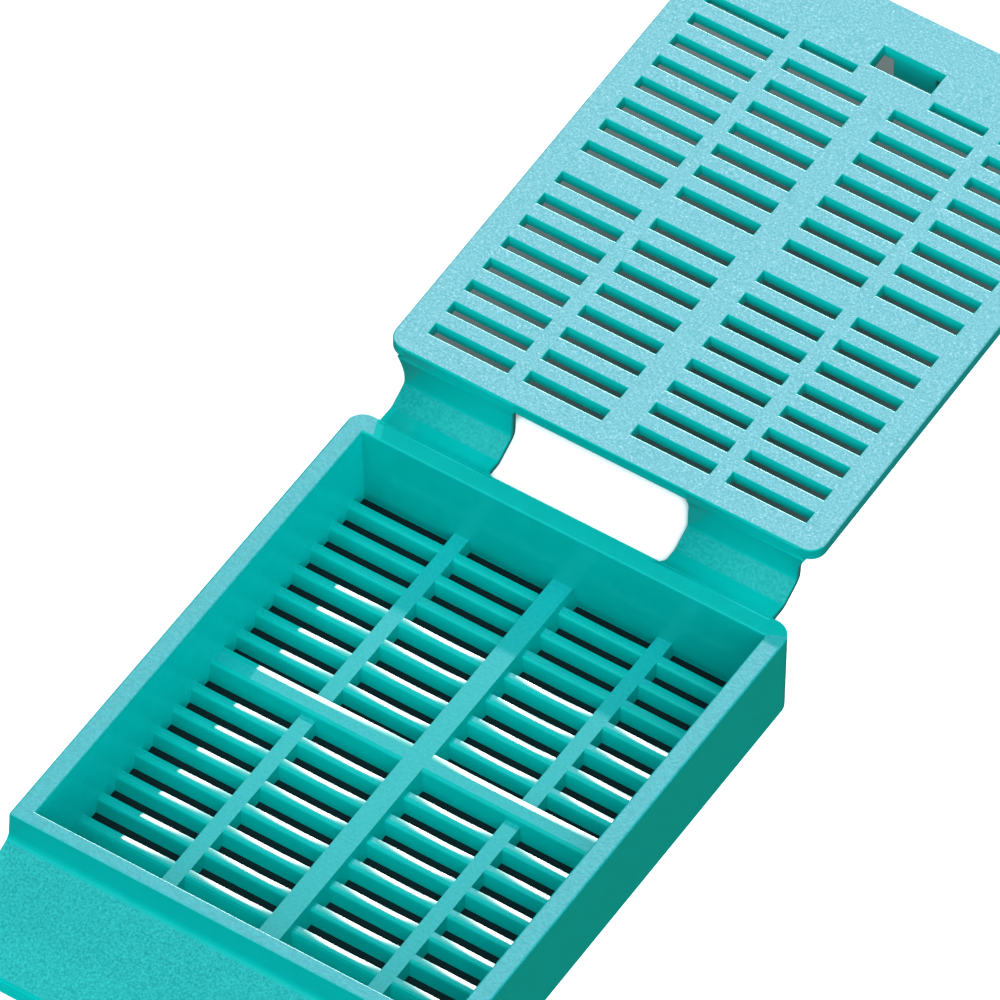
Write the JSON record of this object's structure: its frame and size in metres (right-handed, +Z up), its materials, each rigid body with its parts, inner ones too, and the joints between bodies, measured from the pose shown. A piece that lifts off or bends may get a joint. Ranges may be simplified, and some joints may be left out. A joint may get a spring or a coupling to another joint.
{
  "type": "tissue cassette",
  "caption": "Open teal plastic tissue cassette: a slotted tray with a sloping writing panel and a slotted hinged lid.",
  "frame": {"origin": "on the underside, where the tray floor's centre rib crosses the middle bar", "axes": "+Z up out of the tray, +Y towards the hinge and the open lid, +X to the right seen from the writing panel"},
  "size_m": [0.0284, 0.0783, 0.0107],
  "materials": {
    "moulding": "satin"
  },
  "bodies": {
    "tray": {"base": "moulding", "hinge_strap_left": "moulding", "hinge_strap_right": "moulding"},
    "cover": {"lid": "moulding"}
  },
  "joints": [
    {"name": "lid_hinge", "type": "hinge", "parent": "tray", "child": "cover", "pos_m": [0, 0.01685, 0.0077], "axis": [1, 0, 0], "range_deg": [-12, 178], "deforming": ["hinge_strap_left", "hinge_strap_right"]}
  ]
}
